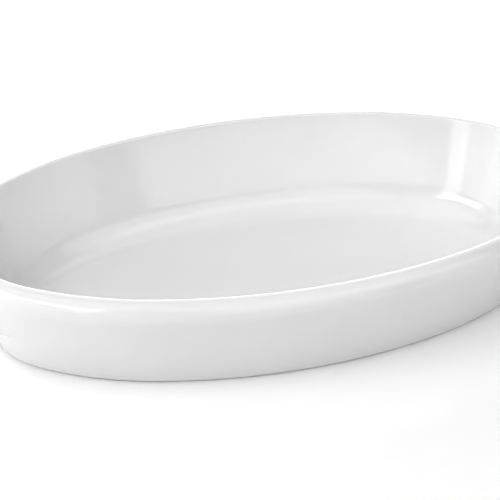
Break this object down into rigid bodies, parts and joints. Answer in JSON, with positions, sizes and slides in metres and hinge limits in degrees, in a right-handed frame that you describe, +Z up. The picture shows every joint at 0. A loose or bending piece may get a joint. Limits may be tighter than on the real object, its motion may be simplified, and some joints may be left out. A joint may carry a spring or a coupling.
{
  "type": "gratin dish",
  "caption": "Oval porcelain gratin dish with sloping sides, a rounded rim and an ear at each end, standing on a low foot ring.",
  "frame": {"origin": "on the table, under the middle of the dish", "axes": "+X along the dish towards one ear, +Y across it, +Z up"},
  "size_m": [0.286, 0.147, 0.0425],
  "materials": {
    "glaze": "smooth white gloss glaze, bare fired body on the foot ring"
  },
  "bodies": {
    "root": {"dish": "glaze"}
  },
  "joints": []
}
